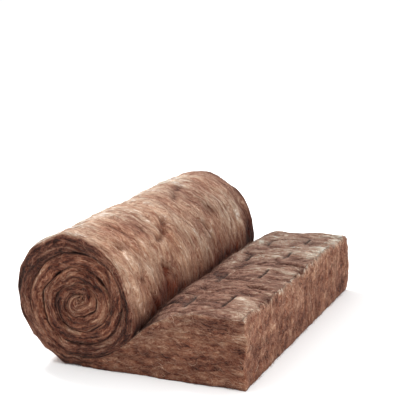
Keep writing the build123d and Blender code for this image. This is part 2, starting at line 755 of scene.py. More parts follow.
@dataclass(frozen=True)
class TailSkin:
    """The top of the tail: long low waves, winding furrows, cross folds and cut marks."""

    marks: CutMarks
    hidden_x: float = 0.215
    drift: Relief = Relief(20, (0.16, 0.20, EVEN), 0.035)
    waves: tuple[Relief, ...] = (
        Relief(21, (0.26, 0.10, EVEN), 0.0080),
        Relief(22, (0.15, 0.040, EVEN), 0.0085),
        Relief(23, (0.12, 0.032, EVEN), 0.0034, crested=True),
        Relief(24, (0.035, 0.011, EVEN), 0.0018),
    )
    furrows: Grooves = Grooves(25, (0.24, 0.070, EVEN), 0.13)
    furrowed: Patches = Patches(26, (0.12, 0.12, EVEN), 0.75, 1.2)
    furrow_depth: float = 0.008
    calm: float = 0.65
    calm_reach: float = 0.018
    creases: tuple[Crease, ...] = (
        Crease((0.363, 0.003), (0.442, 0.079), 0.010, 0.008),
        Crease((0.442, 0.079), (0.592, 0.062), 0.012, 0.008),
        Crease((0.585, 0.021), (0.625, 0.015), 0.012, 0.020),
        Crease((0.560, -0.365), (0.625, -0.365), 0.012, 0.024),
        Crease((0.300, 0.195), (0.335, 0.195), 0.010, 0.022),
        Crease((0.312, -0.285), (0.345, -0.280), 0.010, 0.022),
    )
    settle: Rise = Rise(0.16, 0.26)
    sag: Rise = Rise(-0.1, 0.6, 0.020, power=3)
    sag_along: Rise = Rise(0.25, 0.5)
    heap: Hill = Hill(0.262, 0.072, 0.038)
    heap_across: Rise = Rise(-0.60, -0.44)
    heap_eased: Rise = Rise(0.25, 0.55, 0.35)
    # Painted shade: in the low parts of the waves, in the furrows and creases, and towards the
    # roll.
    hollow: HollowShade = HollowShade(0.010, 0.1, 0.60)
    furrow_shade: float = 0.35
    crease_shade: float = 0.8
    roll_shade: Rise = Rise(0.31, 0.20, 0.6)
    far: Rise = Rise(-0.35, 0.40)
    pale: float = 0.36
    far_pale: float = 0.13
    clouds: Relief = Relief(55, (0.22, 0.16, EVEN), 0.10)
    # Painted light and shade: wave crests paler, troughs darker.
    wave_limits: Pair = (-0.014, 0.016)
    wave_light_and_shade: float = 16
    # Painted highlight along the top edge by the cut end.
    rim_highlight: Rise = Rise(0.52, 0.58, 0.16)
    greyness: float = 0.62
    far_grey: float = 0.38

    def dress(self, points: Points) -> Dressing:
        """Work out the skin's relief and colour.

        Args:
            points: The mat's vertices.

        Returns:
            How far the skin stands up, how much painted shade it gets, how pale and how grey it is.
        """
        x, y, lay = points.x, points.y, points.lay
        flow = bent(lay, self.drift.push(lay), (0, 1, 0))
        furrow = self.furrows.share(flow) * self.furrowed.share(flow)
        wave = pile(self.waves, flow) - furrow * self.furrow_depth
        wave *= 1 - self.calm * self.marks.shares(x, y, wider=self.calm_reach)
        depth, creases = creased(self.creases, x, y)
        # Painted shade in the wave troughs, furrows and creases, and near the roll.
        painted_shade = self.hollow.at(wave) + furrow * self.furrow_shade + creases * self.crease_shade
        painted_shade += self.roll_shade.at(x)
        wave -= depth + self.marks.shares(x, y) * self.marks.depth
        far = self.far.at(y)
        # Paler towards the far side, random clouds, and a painted highlight along the edge by the
        # cut end.
        tone = self.pale + self.far_pale * far + self.clouds.push(lay) + self.rim_highlight.at(x)
        # Painted light and shade: wave crests paler, troughs darker.
        tone += np.clip(wave, *self.wave_limits) * self.wave_light_and_shade
        sag = self.sag.at(y) * self.sag_along.at(x)
        heap = self.heap.at(x) * self.heap_across.at(y) * (1 - self.heap_eased.at(y))
        push = wave * self.settle.at(x) - sag + heap
        return Dressing(push, painted_shade, tone, self.greyness + self.far_grey * far)

    def holds(self, points: Points) -> np.ndarray:
        """Which vertices are on this skin."""
        return points.on_over & points.tail


@dataclass(frozen=True)
class LongEdges:
    """The two faces where the strip's turns and layers show edge on.

    Both read the same noises, but so far apart in them that the two don't look alike.
    """

    apart: float = 7.0
    crown: float = 0.006
    crown_level: float = 0.75
    wound_clumps: float = 0.5
    sway: Relief = Relief(30, (0.12, EVEN, 0.05), 0.010)
    lean: Relief = Relief(31, (0.35, EVEN, 0.12), 0.0065)
    parting: Relief = Relief(32, (0.13, EVEN, 0.014), 0.0032, crested=True)
    layers: Relief = Relief(33, (0.050, EVEN, 0.0070), 0.0024)
    clumps: tuple[Relief, ...] = (
        Relief(34, (0.11, EVEN, 0.045), 0.0050),
        Relief(35, (0.035, EVEN, 0.026), 0.0036),
    )
    open_gaps: Patches = Patches(36, (0.12, EVEN, EVEN), 0.55, 0.9)
    gap_reach: float = 0.0042
    # Painted shade: in the open gaps between tucked turns, in the partings, along the layer lines,
    # in the clumps' hollows and at the foot by the floor.
    gap_shade: float = 0.8
    parting_shade: HollowShade = HollowShade(0.0032, 0.35, 0.45)
    lines: Grooves = Grooves(37, (0.16, EVEN, 0.018), 0.16)
    line_shade: float = 0.6
    clump_shade: HollowShade = HollowShade(0.006, 0.35, 0.6)
    foot_reach: float = 0.010
    foot_shade: float = 0.6
    outermost: Rise = Rise(7.0, 6.2)
    outermost_dark: float = 0.09
    outermost_grey: float = 0.28
    # Painted shade: a darker, greyer band under the tail's top edge, where the top skin overhangs
    # the side.
    overhang_shade: Hill = Hill(0.028, 0.024)
    overhang_shade_from_x: float = 0.2
    overhang_shade_dark: float = 0.10
    overhang_shade_grey: float = 0.25
    roll_pale: float = 0.355
    roll_bands: tuple[Relief, ...] = (
        Relief(51, (0.17, EVEN, 0.011), 0.264),
        Relief(52, (0.07, EVEN, 0.0055), 0.144),
    )
    eye_pale: Rise = Rise(7.2 * math.pi, 7.2 * math.pi + 4, 0.22)
    tail_pale: float = 0.41
    tail_clouds: Relief = Relief(53, (0.14, EVEN, 0.05), 0.14)
    # Painted light: the tail's sides paler towards the top.
    top_painted_light: Rise = Rise(0, 0.2, 0.06)
    edge_reach: float = 0.02

    def dress(self, points: Points, tucked: np.ndarray) -> Dressing:
        """Work out the edges' relief and colour.

        Args:
            points: The mat's vertices.
            tucked: Which of them lie against another turn.

        Returns:
            How far the edges stand out, how much painted shade they get, how pale and how grey they
            are.
        """
        tail, share = points.tail, points.share
        flat = np.stack([points.s, np.where(points.y < 0, 0.0, self.apart), points.depth], 1)
        layered = bent(flat, self.sway.push(flat), (0, 0, 1))
        parting, clumps = self.parting.push(layered), pile(self.clumps, flat)
        bulge = (4 * share * (1 - share) - self.crown_level) * self.crown
        push = self.lean.push(flat) + parting + self.layers.push(layered)
        push += np.where(tail, clumps, clumps * self.wound_clumps + bulge)
        # Painted shade in the open gaps between tucked turns, at the foot by the floor, in
        # partings, clump hollows and along the layer lines.
        gaps = near(points.from_skin, self.gap_reach) * self.gap_shade * self.open_gaps.share(flat)
        foot = near(points.depth, self.foot_reach) * self.foot_shade
        painted_shade = np.where(tucked, gaps, 0) + self.parting_shade.at(parting)
        painted_shade += np.where(tail, self.clump_shade.at(clumps) + foot,
                         self.lines.share(layered) * self.line_shade)
        outermost = np.where(tail, 0, self.outermost.at(points.angle))
        # Painted shade band under the tail's top edge, away from the roll.
        overhang_shaded = tail & (points.x > self.overhang_shade_from_x)
        overhang_shade = np.where(overhang_shaded, self.overhang_shade.at(points.thickness - points.depth), 0)
        # Tail sides: base tone, random clouds, and painted light towards the top.
        on_tail = self.tail_pale + self.tail_clouds.push(flat) + self.top_painted_light.at(points.depth)
        on_roll = self.roll_pale + pile(self.roll_bands, layered) + self.eye_pale.at(points.angle)
        tone = np.where(tail, on_tail - self.overhang_shade_dark * overhang_shade,
                        on_roll - self.outermost_dark * outermost)
        return Dressing(push, painted_shade, tone, self.outermost_grey * outermost + self.overhang_shade_grey * overhang_shade)

    def fade(self, points: Points) -> np.ndarray:
        """How much of the relief each vertex takes, fading away from the edge."""
        return np.where(points.on_edge, 1, near(points.from_edge, self.edge_reach))


@dataclass(frozen=True)
class CutEnd:
    """The torn face at the end of the tail, with upright tufts and a painted highlight along its
    top rim.
    """

    inset: float = 0.005
    bulge: Rise = Rise(0.2, 0.6, 0.009)
    tufts: tuple[Relief, ...] = (
        Relief(41, (EVEN, 0.16, 0.20), 0.0055),
        Relief(42, (EVEN, 0.048, 0.085), 0.0055),
        Relief(43, (EVEN, 0.015, 0.035), 0.0034),
        Relief(44, (EVEN, 0.026, 0.070), 0.0022, crested=True),
    )
    # Painted shade in the hollows between tufts and at the foot by the floor.
    hollow: HollowShade = HollowShade(0.009, 0.25, 0.5)
    foot_reach: float = 0.010
    foot_shade: float = 0.5
    pale: float = 0.43
    clouds: Relief = Relief(56, (EVEN, 0.06, 0.10), 0.14)
    # Painted light and shade: tufts paler than their hollows, the face paler towards its top, a
    # greyer painted highlight along the top rim and a painted highlight down both side edges.
    tuft_light_and_shade: float = 12
    upward_light_and_shade: float = 0.12
    rim_reach: float = 0.020
    rim_highlight: float = 0.16
    rim_highlight_grey: float = 0.5
    corner_reach: float = 0.018
    corner_highlight: float = 0.10
    face_depth: float = 0.022
    floor_share: float = 0.3
    floor_reach: float = 0.05
    round_reach: float = 0.014
    top_round: float = 0.008
    foot_round: float = 0.0028

    def dress(self, points: Points) -> Dressing:
        """Work out the face's relief and colour.

        Args:
            points: The mat's vertices.

        Returns:
            How far the face stands out, how much painted shade it gets, how pale and how grey it
            is.
        """
        face = points.lay * [0, 1, 1]
        torn = pile(self.tufts, face)
        # Painted shade in the tufts' hollows and at the foot by the floor.
        painted_shade = self.hollow.at(torn) + near(points.depth, self.foot_reach) * self.foot_shade
        rim = near(points.thickness - points.depth, self.rim_reach)
        # Painted light and shade on the face: tufts paler than their hollows, paler towards the
        # top, painted highlights on the top rim and side edges.
        tone = self.pale + self.clouds.push(face) + self.rim_highlight * rim + torn * self.tuft_light_and_shade
        tone += self.upward_light_and_shade * (points.share - 0.5)
        tone += self.corner_highlight * near(points.from_edge, self.corner_reach)
        push = torn - self.inset + self.bulge.at(points.y)
        return Dressing(push, painted_shade, tone, self.rim_highlight_grey * rim)

    def weight(self, points: Points, tail_length: float) -> np.ndarray:
        """How much of the relief each vertex takes, least at the floor.

        Args:
            points: The mat's vertices.
            tail_length: How far the cut end is from the roll's axis.

        Returns:
            The shares, from 0 to 1.
        """
        share = near(tail_length - points.x, self.face_depth)
        share = share * np.clip(self.floor_share + points.depth / self.floor_reach, 0, 1)
        return np.where(points.tail, share, 0)

    def rounding(self, points: Points) -> np.ndarray:
        """How far the face is rounded back along its top and its foot."""
        back = np.where(points.share > 0.5, self.top_round, self.foot_round)
        return np.where(points.on_cut, back * near(points.from_skin, self.round_reach) ** 2, 0)


@dataclass(frozen=True)
class Crumple:
    """How the roll's turns are pushed out of round towards the eye."""

    inner: float = 0.06
    outer: float = 0.175
    wide: Relief = Relief(61, (0.085, 0.60, 0.085), 0.0140)
    tight: Relief = Relief(63, (0.038, 0.60, 0.038), 0.0055)

    def move(self, points: Points, eye: Pair) -> np.ndarray:
        """How far each vertex moves in the side view.

        Args:
            points: The mat's vertices.
            eye: The middle of the roll.

        Returns:
            One row of two lengths for each vertex, and none outside the inner turns.
        """
        place = np.stack([points.spot[:, 0], points.y, points.spot[:, 1]], 1)
        away = np.linalg.norm(points.spot - np.array(eye), axis=1)
        share = np.where(points.tail, 0, 1 - share_between(away, self.inner, self.outer))
        return np.stack([pile(self.shifted(turn), place) * share for turn in (0, 1)], 1)

    def shifted(self, turn: int) -> tuple[Relief, ...]:
        """The two reliefs, with a seed of their own for each way of the side view."""
        return tuple(replace(relief, seed=relief.seed + turn) for relief in (self.wide, self.tight))


@dataclass
class Weave:
    """Numbers the mat's vertices and joins them with faces.

    The faces that show have lines close together. Those inside the roll have only a few.
    """

    strip: Strip
    lines: np.ndarray
    layers: int
    landing: float = 0.262
    hidden_x: float = 0.150
    coarse_steps: tuple[int, ...] = (1, 2, 3, 6, 12)

    def __post_init__(self) -> None:
        """Make every face."""
        self.numbers: dict[tuple[int, int, int], int] = {}
        self.faces: list[tuple[int, ...]] = []
        self.last = len(self.lines) - 1
        self.fine = list(range(1, self.last))
        self.coarse = sorted({*self.coarse_steps, *(self.last - k for k in self.coarse_steps)})
        angle, x = self.strip.angle, self.strip.under[:, 0]
        self.under_fine = (angle > self.landing) & (angle < self.strip.side.nip)
        self.over_fine = (angle == UNWOUND) & (x > self.hidden_x)
        self.first_under = int(np.argmax(self.under_fine))
        self.long_edges()
        self.skin(0, self.under_fine, self.first_under)
        self.skin(self.layers, self.over_fine, 0)
        self.underside()
        self.end_face(0, self.fine)
        self.end_face(self.strip.count - 1, self.coarse)

    def vertex(self, station: int, layer: int, line: int) -> int:
        """The number of a vertex, given out when it is first asked for."""
        return self.numbers.setdefault((station, layer, line), len(self.numbers))

    def long_edges(self) -> None:
        """Join the faces of the two long edges."""
        for line in (0, self.last):
            for station in range(self.strip.count - 1):
                for layer in range(self.layers):
                    ring = ((0, 0), (1, 0), (1, 1), (0, 1))
                    self.faces.append(tuple(
                        self.vertex(station + a, layer + b, line) for a, b in ring))

    def skin(self, layer: int, is_fine: np.ndarray, start: int) -> None:
        """Join the faces of one skin.

        Args:
            layer: The skin's layer.
            is_fine: Whether each cross-section has its lines close together.
            start: The first cross-section.
        """
        for station in range(start, self.strip.count - 1):
            here, there = (
                [0, *(self.fine if is_fine[k] else self.coarse), self.last]
                for k in (station, station + 1))
            shared = sorted(set(here) & set(there))
            for low, high in zip(shared[:-1], shared[1:]):
                one = [self.vertex(station, layer, j) for j in here if low <= j <= high]
                two = [self.vertex(station + 1, layer, j) for j in there if low <= j <= high]
                self.faces.append(tuple(one + two[::-1]))

    def underside(self) -> None:
        """Make the side that lies on the floor one flat face."""
        ring = [(0, j) for j in [0, *self.fine, self.last]]
        ring += [(i, self.last) for i in range(1, self.first_under + 1)]
        ring += [(self.first_under, j) for j in self.fine[::-1]]
        ring += [(i, 0) for i in range(self.first_under, 0, -1)]
        self.faces.append(tuple(self.vertex(i, 0, j) for i, j in ring))

    def end_face(self, station: int, lines: list[int]) -> None:
        """Join the faces of one end of the strip.

        Args:
            station: The end's cross-section.
            lines: Its lines between the long edges.
        """
        columns = [0, *lines, self.last]
        for low, high in zip(columns[:-1], columns[1:]):
            for layer in range(self.layers):
                ring = ((layer, low), (layer, high), (layer + 1, high), (layer + 1, low))
                self.faces.append(tuple(self.vertex(station, d, j) for d, j in ring))


def place_in_scene(name: str, data: bpy.types.ID) -> bpy.types.Object:
    """Put a mesh, light or camera in the scene.

    Args:
        name: The object's name.
        data: What it shows.

    Returns:
        The object, at the origin.
    """
    thing = bpy.data.objects.new(name, data)
    bpy.context.scene.collection.objects.link(thing)
    return thing


@dataclass
class WoolMat:
    """The whole mat as one closed mesh, from its cut end to the eye of the roll."""

    name: str
    low: Vector
    high: Vector
    side: SideView = field(default_factory=SideView)
    marks: CutMarks = field(default_factory=CutMarks)
    long_edges: LongEdges = field(default_factory=LongEdges)
    cut_end: CutEnd = field(default_factory=CutEnd)
    crumple: Crumple = field(default_factory=Crumple)
    step_across: float = 0.0041
    layers: int = 24
    layer_crowding: float = 0.72
    edge_round: float = 0.009
    tucked_round: float = 0.0035
    most_round: float = 0.3
    edge_lines: tuple[float, ...] = (0, 0.0025, 0.0055)
    open_from_x: float = 0.16
    corner_tone: float = 0.5
    hidden_tone: float = 0.4

    def __post_init__(self) -> None:
        """Set the mat in the frame and lay out its vertices."""
        self.roll_skin = RollSkin(self.side.nip)
        self.tail_skin = TailSkin(self.marks)
        self.half_width = (self.high.y - self.low.y) / 2
        self.middle_y = (self.high.y + self.low.y) / 2
        self.axis_x = self.high.x - self.side.tail_length
        self.strip = Strip(self.side, self.marks)
        self.lines = self.cross_lines()
        self.weave = Weave(self.strip, self.lines, self.layers)
        keys = np.array(list(self.weave.numbers))
        self.at = Points(keys[:, 0], keys[:, 1], keys[:, 2], self.strip, self.lines,
                         self.layer_shares(), self.half_width)
        self.displace()

    def cross_lines(self) -> np.ndarray:
        """Space the lines across the width, closer together at the long edges.

        Returns:
            Their places across the mat.
        """
        near = np.array(self.edge_lines)
        count = int((self.half_width - self.edge_round) * 2 / self.step_across)
        inner = np.linspace(self.edge_round, self.half_width * 2 - self.edge_round, count)
        places = np.concatenate([near, inner, self.half_width * 2 - near[::-1]])
        return places - self.half_width

    def layer_shares(self) -> np.ndarray:
        """How deep each layer is, as shares of the thickness, closer at the skins."""
        even = np.linspace(-1, 1, self.layers + 1) * math.pi / 2 * self.layer_crowding
        return (np.sin(even) / math.sin(math.pi / 2 * self.layer_crowding) + 1) / 2

    def open_skin(self) -> np.ndarray:
        """Find what is nearer to a skin that shows than to one against another turn.

        Returns:
            Whether each vertex is.
        """
        at = self.at
        outer = (at.angle < self.side.nip) & ~at.tail
        return np.where(at.share < 0.5, outer, at.tail & (at.x > self.open_from_x))

    def round_edges(self, spot: np.ndarray, y: np.ndarray) -> tuple[np.ndarray, np.ndarray]:
        """Bring vertices near a long edge onto a quarter round between it and the skin.

        Args:
            spot: The vertices' places in the side view.
            y: Their places across.

        Returns:
            Both, rounded.
        """
        at = self.at
        radius = np.where(self.open_skin(), self.edge_round, self.tucked_round)
        radius = np.minimum(radius, at.thickness * self.most_round)
        on_skin = at.on_under | at.on_over
        on_skin_near = on_skin & (at.from_edge < radius)
        on_edge_near = at.on_edge & (at.from_skin < radius)
        eighth = math.pi / 4
        turn = np.where(on_edge_near, eighth * (1 - at.from_skin / radius),
                        eighth * (1 + at.from_edge / radius))
        near = on_skin_near | on_edge_near
        inset_y = np.where(near, radius * (1 - np.cos(turn)), 0)
        inset_n = np.where(near, radius * (1 - np.sin(turn)), 0)
        inset_y = np.where(near & ~at.on_edge, inset_y - at.from_edge, inset_y)
        inset_n = np.where(near & at.on_edge & ~on_skin, inset_n - at.from_skin, inset_n)
        toward = np.where(at.share < 0.5, 1.0, -1.0)
        return spot + at.way * (toward * inset_n)[:, None], y - at.outward * inset_y

    def displace(self) -> None:
        """Place every vertex, and note how much painted shade it gets and how pale and grey the
        wool is there.
        """
        at = self.at
        spot, y = self.round_edges(at.spot + self.crumple.move(at, self.side.eye), at.y)
        roll = self.roll_skin.dress(at)
        spot = spot - at.way * (roll.push * self.roll_skin.weight(at))[:, None]
        top = self.tail_skin.dress(at)
        spot[:, 1] += np.where(at.tail, top.push * at.share**2, 0)
        tucked = ~self.open_skin() & ~(at.tail & (at.share < 0.5))
        edges = self.long_edges.dress(at, tucked)
        y = y + at.outward * edges.push * self.long_edges.fade(at)
        cut = self.cut_end.dress(at)
        spot[:, 0] += cut.push * self.cut_end.weight(at, self.side.tail_length)
        spot[:, 0] -= self.cut_end.rounding(at)
        spot[:, 1] = np.where(at.tail & at.on_under, 0, np.maximum(spot[:, 1], 0))
        self.points = np.stack([spot[:, 0] + self.axis_x, y + self.middle_y, spot[:, 1]], 1)
        self.colour(roll, top, edges, cut)

    def colour(self, roll: Dressing, top: Dressing, edges: Dressing, cut: Dressing) -> None:
        """Give each vertex the colouring of the face that it is on.

        Args:
            roll: The dressing of the roll's skin.
            top: The dressing of the tail's top skin.
            edges: The dressing of the long edges.
            cut: The dressing of the cut end.
        """
        at = self.at
        on_roll, on_top = self.roll_skin.holds(at), self.tail_skin.holds(at)
        inside = (at.angle > self.side.nip) | (on_top & (at.x < self.tail_skin.hidden_x))
        # Faces hidden inside the roll and under it get full painted shade; the others take their
        # own face's painted shade.
        cases = [inside & ~at.on_edge, at.on_cut & ~at.on_over, on_top & ~at.on_edge,
                 on_roll & ~at.on_edge, at.on_edge]
        self.painted_shade = np.select(cases, [1.0, cut.painted_shade, top.painted_shade, roll.painted_shade, edges.painted_shade], 0)
        cases = [at.on_cut, on_top & ~at.on_edge, on_roll & ~at.on_edge, on_top | on_roll,
                 at.on_edge]
        tones = [cut.tone, top.tone, roll.tone, self.corner_tone, edges.tone]
        self.tone = np.select(cases, tones, self.hidden_tone)
        cases = [at.on_cut & ~at.on_over, on_top, at.on_edge, on_roll]
        self.grey = np.select(cases, [cut.grey, top.grey, edges.grey, roll.grey], 0)
        self.mark = np.where(on_top, self.marks.shares(at.x, at.y), 0)

    def build(self) -> bpy.types.Object:
        """Make the mesh.

        Returns:
            The mat as an object at the origin.
        """
        mesh = bpy.data.meshes.new(self.name + "_surface")
        mesh.from_pydata(self.points.tolist(), [], self.weave.faces)
        mesh.validate()
        mesh.update()
        self.write_attributes(mesh)
        thing = place_in_scene(self.name, mesh)
        bpy.ops.object.select_all(action="DESELECT")
        thing.select_set(True)
        bpy.context.view_layer.objects.active = thing
        bpy.ops.object.mode_set(mode="EDIT")
        bpy.ops.mesh.select_all(action="SELECT")
        bpy.ops.mesh.normals_make_consistent(inside=False)
        bpy.ops.object.mode_set(mode="OBJECT")
        bpy.ops.object.shade_smooth()
        return thing

    def write_attributes(self, mesh: bpy.types.Mesh) -> None:
        """Write the strip's own coordinates and the colouring onto the mesh.

        Args:
            mesh: The mat's mesh.
        """
        lay = mesh.attributes.new("lay", "FLOAT_VECTOR", "POINT")
        lay.data.foreach_set("vector", self.at.lay.astype(np.float32).ravel())
        numbers = {
            "tone": self.tone,
            "grey": self.grey,
            "painted_shade": self.painted_shade,
            "mark": self.mark,
            Zone.LONG_EDGE.value: self.at.on_edge,
            Zone.CUT_END.value: self.at.on_cut,
        }
        for name, values in numbers.items():
            layer = mesh.attributes.new(name, "FLOAT", "POINT")
            layer.data.foreach_set("value", values.astype(np.float32))


@dataclass
class LooseFibres:
    """Short fibres that stand a little off the mat's surface, as one mesh of thin ribbons."""

    name: str
    ground: Ground
    count: int
    seed: int
    shortest: float = 0.012
    longest: float = 0.042
    half_width: float = 0.00034
    end_share: float = 0.35
    lift: float = 0.0055
    most_lift: float = 0.0080
    floor_gap: float = 0.0006
    least_run: float = 1e-9
    joints: int = 4
    # How much the painted shade under a fibre darkens it, and the painted shade above which no
    # fibre grows.
    painted_shade_dark: float = 0.35
    tone_shift: Pair = (0.02, 0.17)
    most_painted_shade: float = 0.9
    most_mark: float = 0.02
    floor_slope: float = -0.9
    top_slope: float = 0.7
    top_share: float = 0.3
    swing: float = 0.5
    bend: float = 1.1
    arch: float = 0.8
    lean: Pair = (0.8, 0.6)

    def build(self, mat: WoolMat, surface: bpy.types.Object) -> bpy.types.Object:
        """Scatter the fibres over the mat's shown faces.

        Args:
            mat: The mat, for its places and tones.
            surface: The mat's object.

        Returns:
            The fibres as one object at the origin.
        """
        rng = np.random.default_rng(self.seed)
        corners = self.triangles(surface.data)
        points = mat.points[corners]
        flat = np.cross(points[:, 1] - points[:, 0], points[:, 2] - points[:, 0])
        normal = flat / np.maximum(np.linalg.norm(flat, axis=1)[:, None], TINY)
        weight = self.weights(mat, corners, flat, normal)
        pick = rng.choice(len(corners), size=self.count, p=weight / weight.sum())
        blend = rng.dirichlet((1, 1, 1), self.count)
        root = (points[pick] * blend[:, :, None]).sum(axis=1)
        places = self.ribbons(rng, root, normal[pick], self.grain_way(mat, corners[pick]))
        strands = bpy.data.meshes.new(self.name + "_surface")
        strands.from_pydata(places.tolist(), [], self.ribbon_faces().tolist())
        strands.update()
        # Each fibre takes the tone under it, darkened by the painted shade there.
        tone = (mat.tone - self.painted_shade_dark * mat.painted_shade)[corners[pick]].mean(axis=1)
        tone = tone + rng.normal(*self.tone_shift, self.count)
        layer = strands.attributes.new("shade", "FLOAT", "POINT")
        layer.data.foreach_set("value", np.repeat(tone, self.joints * 2).astype(np.float32))
        return place_in_scene(self.name, strands)

    def triangles(self, mesh: bpy.types.Mesh) -> np.ndarray:
        """Split a mesh into triangles.

        Args:
            mesh: The mesh.

        Returns:
            The three vertices of each triangle.
        """
        mesh.calc_loop_triangles()
        corners = np.empty(len(mesh.loop_triangles) * 3, dtype=np.int32)
        mesh.loop_triangles.foreach_get("vertices", corners)
        return corners.reshape(-1, 3)

    def weights(self, mat: WoolMat, corners: np.ndarray, flat: np.ndarray,
                normal: np.ndarray) -> np.ndarray:
        """How likely a fibre is on each triangle.

        Args:
            mat: The mat.
            corners: The three vertices of each triangle.
            flat: The triangles' area vectors.
            normal: The same, one metre long.

        Returns:
            The weights: by area, with none where the painted shade is deepest, in the slits or
                under the mat.
        """
        on_tail = mat.at.tail[corners[:, 0]]
        weight = np.where(on_tail == (self.ground is Ground.TAIL), np.linalg.norm(flat, axis=1), 0)
        weight[mat.painted_shade[corners].mean(axis=1) > self.most_painted_shade] = 0
        weight[normal[:, 2] < self.floor_slope] = 0
        weight[mat.mark[corners].max(axis=1) > self.most_mark] = 0
        weight[on_tail & (normal[:, 2] > self.top_slope)] *= self.top_share
        return weight

    def grain_way(self, mat: WoolMat, corners: np.ndarray) -> np.ndarray:
        """The way the grain runs on each triangle: along the strip, or up the cut end.

        Args:
            mat: The mat.
            corners: The three vertices of each triangle.

        Returns:
            One direction for each triangle.
        """
        spread = mat.points[corners] - mat.points[corners].mean(axis=1)[:, None]
        run = mat.at.s[corners] - mat.at.s[corners].mean(axis=1)[:, None]
        deep = mat.at.depth[corners] - mat.at.depth[corners].mean(axis=1)[:, None]
        along = (spread * run[:, :, None]).sum(axis=1)
        upward = (spread * deep[:, :, None]).sum(axis=1)
        still = np.linalg.norm(along, axis=1) < self.least_run
        along[still] = upward[still]
        return along + TINY

    def ribbons(self, rng: np.random.Generator, root: np.ndarray, up: np.ndarray,
                along: np.ndarray) -> np.ndarray:
        """Bend a thin ribbon for each fibre.

        Args:
            rng: The source of chance.
            root: Where each fibre lies.
            up: The way off the surface there.
            along: The way the grain runs there.

        Returns:
            The ribbons' vertices, two for each joint.
        """
        along = along - up * (along * up).sum(axis=1)[:, None]
        along /= np.maximum(np.linalg.norm(along, axis=1)[:, None], self.least_run)
        side = np.cross(up, along)
        swing = rng.normal(0, self.swing, self.count)
        swing = swing + rng.integers(0, 2, self.count) * math.pi
        bend = rng.normal(0, self.bend, self.count)
        length = rng.uniform(self.shortest, self.longest, self.count)
        height = np.minimum(np.abs(rng.normal(0, self.lift, self.count)), self.most_lift)
        rows = []
        for joint in range(self.joints):
            share = joint / (self.joints - 1)
            way = (swing + bend * (share - 0.5))[:, None]
            heading = along * np.cos(way) + side * np.sin(way)
            across = side * np.cos(way) - along * np.sin(way)
            rise = height * math.sin(math.pi * share * self.arch) + self.floor_gap
            here = root + heading * (length * (share - 0.5))[:, None] + up * rise[:, None]
            wide = self.end_share if joint in (0, self.joints - 1) else 1
            lean = (across * self.lean[0] + up * self.lean[1]) * self.half_width * wide
            rows += [here - lean, here + lean]
        places = np.stack(rows, 1).reshape(-1, 3)
        places[:, 2] = np.maximum(places[:, 2], self.floor_gap)
        return places

    def ribbon_faces(self) -> np.ndarray:
        """Make the faces of all the ribbons, a quad between each two joints.

        Returns:
            The four vertices of each face.
        """
        per_ribbon = self.joints * 2
        first = np.arange(self.count) * per_ribbon
        quads = [np.stack([first + k, first + k + 1, first + k + 3, first + k + 2], 1)
                 for k in range(0, per_ribbon - 2, 2)]
        return np.concatenate(quads)


